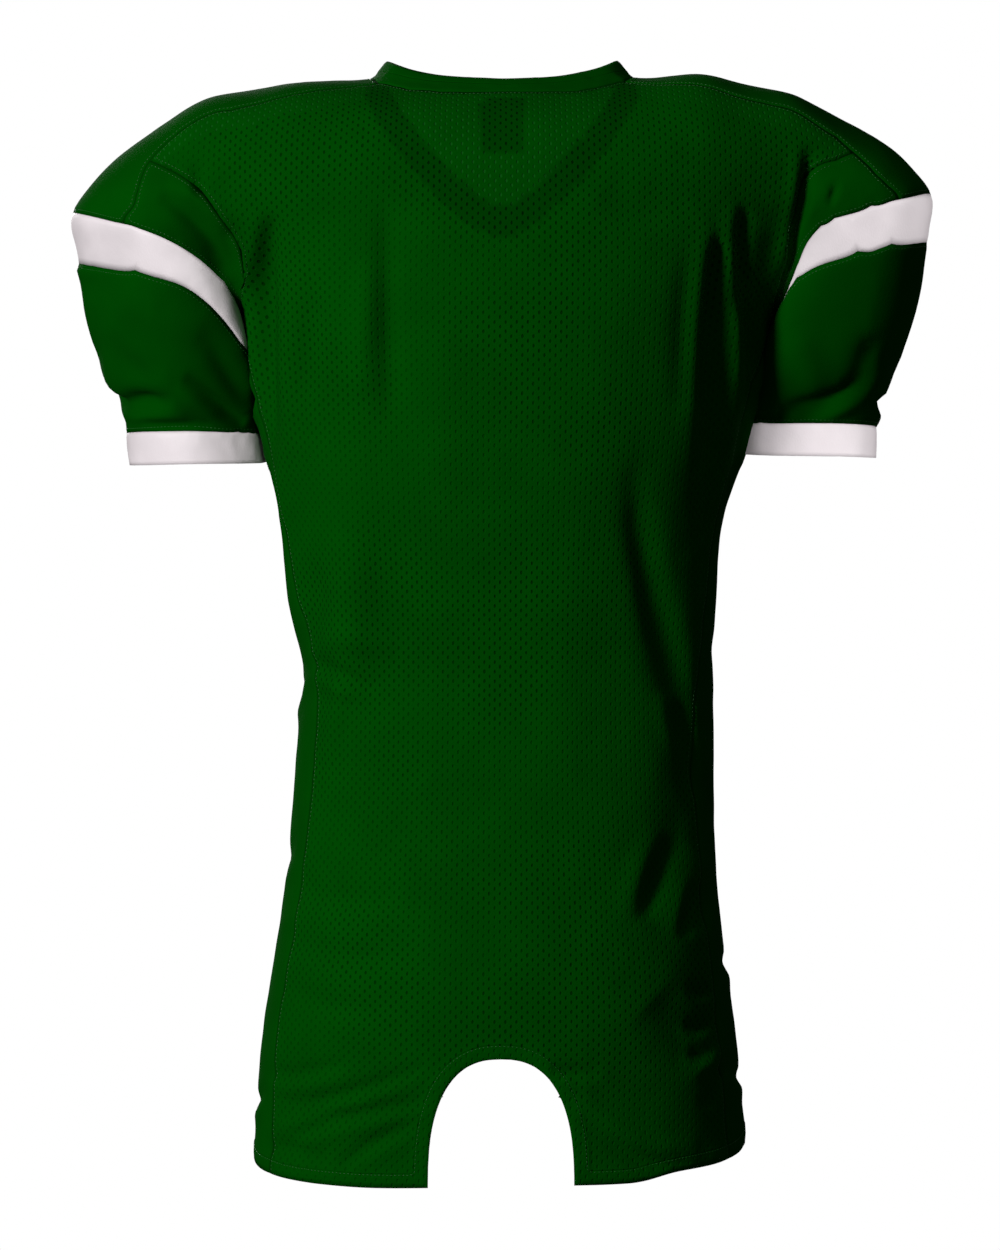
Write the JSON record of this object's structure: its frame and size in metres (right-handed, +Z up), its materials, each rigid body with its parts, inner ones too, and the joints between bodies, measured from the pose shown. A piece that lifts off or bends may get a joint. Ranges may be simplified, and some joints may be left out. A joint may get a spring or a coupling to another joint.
{
  "type": "football jersey",
  "caption": "Short-sleeved football jersey, filled out as if worn over shoulder pads, with a V neck, striped sleeves and an arch in its hem.",
  "frame": {"origin": "midway between the shoulders, on the shoulder line beside the neck, where the wearer holds the jersey up", "axes": "+Z up, +X towards the wearer's left arm, +Y out of the back"},
  "size_m": [0.691, 0.289, 0.8862],
  "materials": {
    "mesh": "matt pin-hole polyester mesh",
    "smooth_cloth": "smooth polyester with a slight sheen",
    "white_cloth": "smooth polyester with a slight sheen",
    "neck_band": "smooth polyester with a slight sheen",
    "label": "matt printed patch, blank"
  },
  "bodies": {
    "root": {"back_panel": "mesh", "front_panel": "mesh", "side_panel_left": "smooth_cloth", "side_panel_right": "smooth_cloth", "yoke_left": "smooth_cloth", "yoke_right": "smooth_cloth", "upper_sleeve_left": "smooth_cloth", "upper_sleeve_right": "smooth_cloth", "lower_sleeve_left": "smooth_cloth", "lower_sleeve_right": "smooth_cloth", "sleeve_stripe_left": "white_cloth", "sleeve_stripe_right": "white_cloth", "cuff_left": "white_cloth", "cuff_right": "white_cloth", "collar": "neck_band", "neck_label": "label"}
  },
  "joints": []
}
